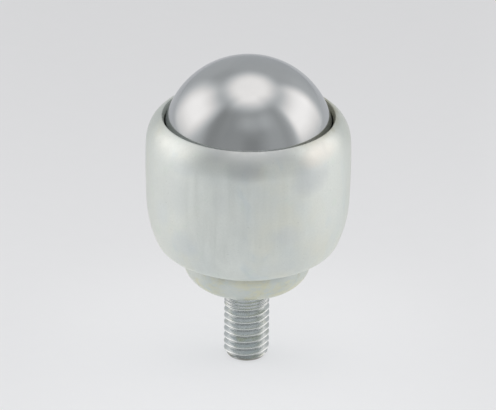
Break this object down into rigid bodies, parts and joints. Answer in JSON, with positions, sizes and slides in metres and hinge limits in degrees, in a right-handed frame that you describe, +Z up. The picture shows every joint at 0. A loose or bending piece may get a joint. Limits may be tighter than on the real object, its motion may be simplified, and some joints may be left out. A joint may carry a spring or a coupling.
{
  "type": "ball transfer unit",
  "caption": "Stud-mounted ball transfer unit: a steel ball on support balls in a pressed zinc-plated shell, for moving loads in any direction.",
  "frame": {"origin": "centre of the flat seat under the base cup, on the stud's axis", "axes": "+Z up through the load ball, the stud points down along -Z, X and Y are equal"},
  "size_m": [0.0358, 0.0358, 0.0563],
  "materials": {
    "shell_zinc": "satin bright zinc plate with a clear bluish passivation",
    "cup_zinc": "satin zinc plate with a faint yellow tint",
    "race_steel": "hardened bare steel, polished track",
    "load_ball_steel": "ground and polished bearing steel",
    "support_ball_steel": "polished bearing steel",
    "stud_zinc": "rolled thread, bright zinc plate"
  },
  "bodies": {
    "housing": {"outer_shell": "shell_zinc", "base_cup": "cup_zinc", "race_bowl": "race_steel", "stud_bolt": "stud_zinc"},
    "support_ball_set": {"support_balls": "support_ball_steel"},
    "load_ball": {"main_ball": "load_ball_steel"}
  },
  "joints": [
    {"name": "support_ball_circulation", "type": "hinge", "parent": "housing", "child": "support_ball_set", "pos_m": [0, 0, 0.0273], "axis": [0, 0, 1], "continuous": true},
    {"name": "load_ball_roll", "type": "hinge", "parent": "support_ball_set", "child": "load_ball", "pos_m": [0, 0, 0.0273], "axis": [1, 0, 0], "continuous": true}
  ]
}
